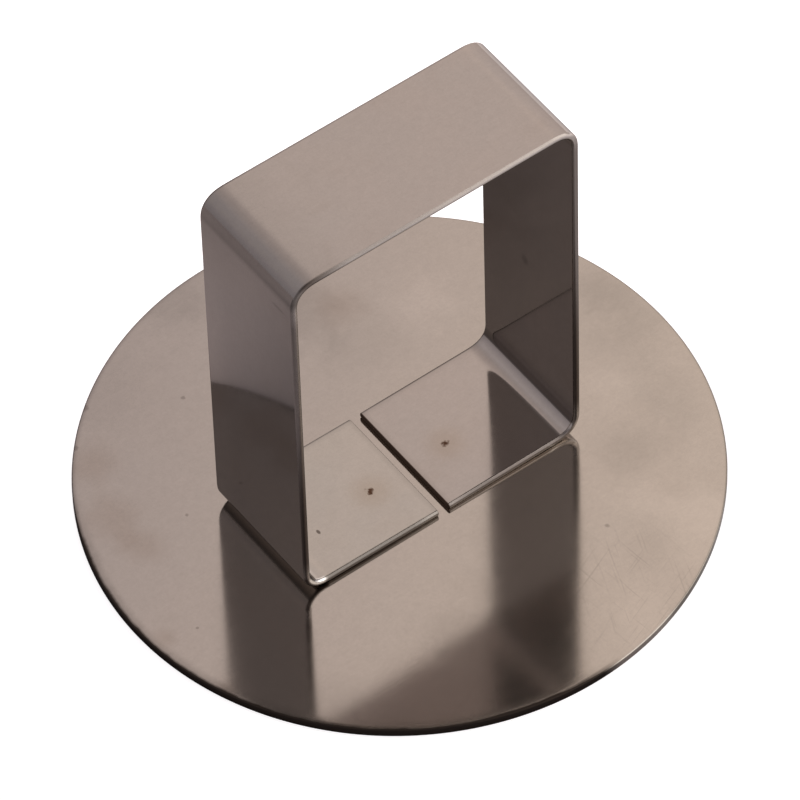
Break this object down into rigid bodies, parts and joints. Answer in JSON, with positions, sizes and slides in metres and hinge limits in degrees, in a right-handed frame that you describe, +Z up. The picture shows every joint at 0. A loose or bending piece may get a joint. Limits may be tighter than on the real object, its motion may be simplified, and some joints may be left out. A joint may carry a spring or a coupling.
{
  "type": "food ring pusher",
  "caption": "Round flat steel disc that presses food down inside a ring mould, with an open square loop handle bent from strap and spot-welded on top.",
  "frame": {"origin": "centre of the disc's flat underside, which presses the food", "axes": "+Z up from the disc to the handle's top, +X along the handle's top from leg to leg, +Y across the strap"},
  "size_m": [0.069, 0.069, 0.0505],
  "materials": {
    "disc_steel": "bright mill-polished stainless sheet with faint waves, scuffs and smudges",
    "strap_steel": "bright mill-polished stainless strip with faint lengthwise grain and burnished edges",
    "weld_metal": "dull grey-brown weld metal, hidden between the sheets"
  },
  "bodies": {
    "root": {"pressing_disc": "disc_steel", "strap_handle": "strap_steel", "spot_welds": "weld_metal"}
  },
  "joints": []
}
